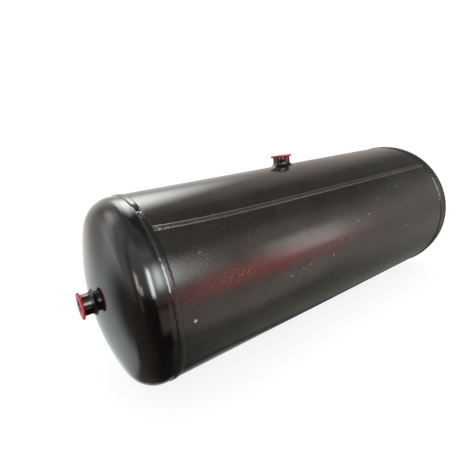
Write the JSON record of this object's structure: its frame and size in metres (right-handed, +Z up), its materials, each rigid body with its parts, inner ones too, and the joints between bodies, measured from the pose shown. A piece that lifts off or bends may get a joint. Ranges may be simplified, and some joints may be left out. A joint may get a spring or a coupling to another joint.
{
  "type": "air receiver tank",
  "caption": "Horizontal welded steel air receiver tank with domed heads, threaded port bosses closed by ribbed push-in transport caps, and a blank data plate on a bracket.",
  "frame": {"origin": "under the middle of the tank, on the surface that the girth welds rest on", "axes": "+X along the tank towards the rear head, +Z up through the crown port, -Y the side with the longitudinal seam"},
  "size_m": [0.7796, 0.2784, 0.2958],
  "materials": {
    "tank_paint": "gloss black enamel",
    "weld_paint": "gloss black enamel over the weld's ripples",
    "cap_plastic": "moulded red polyethylene",
    "plate_metal": "satin",
    "rivet_metal": "as formed"
  },
  "bodies": {
    "tank": {"shell": "tank_paint", "longitudinal_weld": "weld_paint", "front_head": "tank_paint", "rear_head": "tank_paint", "front_girth_weld": "weld_paint", "rear_girth_weld": "weld_paint", "data_plate_bracket": "tank_paint", "bracket_welds": "weld_paint", "data_plate": "plate_metal", "data_plate_rivets": "rivet_metal", "crown_port_boss": "tank_paint", "crown_port_weld": "weld_paint", "drain_port_boss": "tank_paint", "drain_port_weld": "weld_paint", "front_port_boss": "tank_paint", "front_port_weld": "weld_paint", "rear_port_boss": "tank_paint", "rear_port_weld": "weld_paint"},
    "crown_cap": {"crown_port_cap": "cap_plastic"},
    "drain_cap": {"drain_port_cap": "cap_plastic"},
    "front_cap": {"front_port_cap": "cap_plastic"},
    "rear_cap": {"rear_port_cap": "cap_plastic"}
  },
  "joints": [
    {"name": "crown_cap_pull", "type": "slide", "parent": "tank", "child": "crown_cap", "axis": [0, 0, 1], "range_m": [0, 0.06]},
    {"name": "drain_cap_pull", "type": "slide", "parent": "tank", "child": "drain_cap", "axis": [0, 0.7071, -0.7071], "range_m": [0, 0.02]},
    {"name": "front_cap_pull", "type": "slide", "parent": "tank", "child": "front_cap", "axis": [-1, 0, 0], "range_m": [0, 0.06]},
    {"name": "rear_cap_pull", "type": "slide", "parent": "tank", "child": "rear_cap", "axis": [1, 0, 0], "range_m": [0, 0.06]}
  ]
}
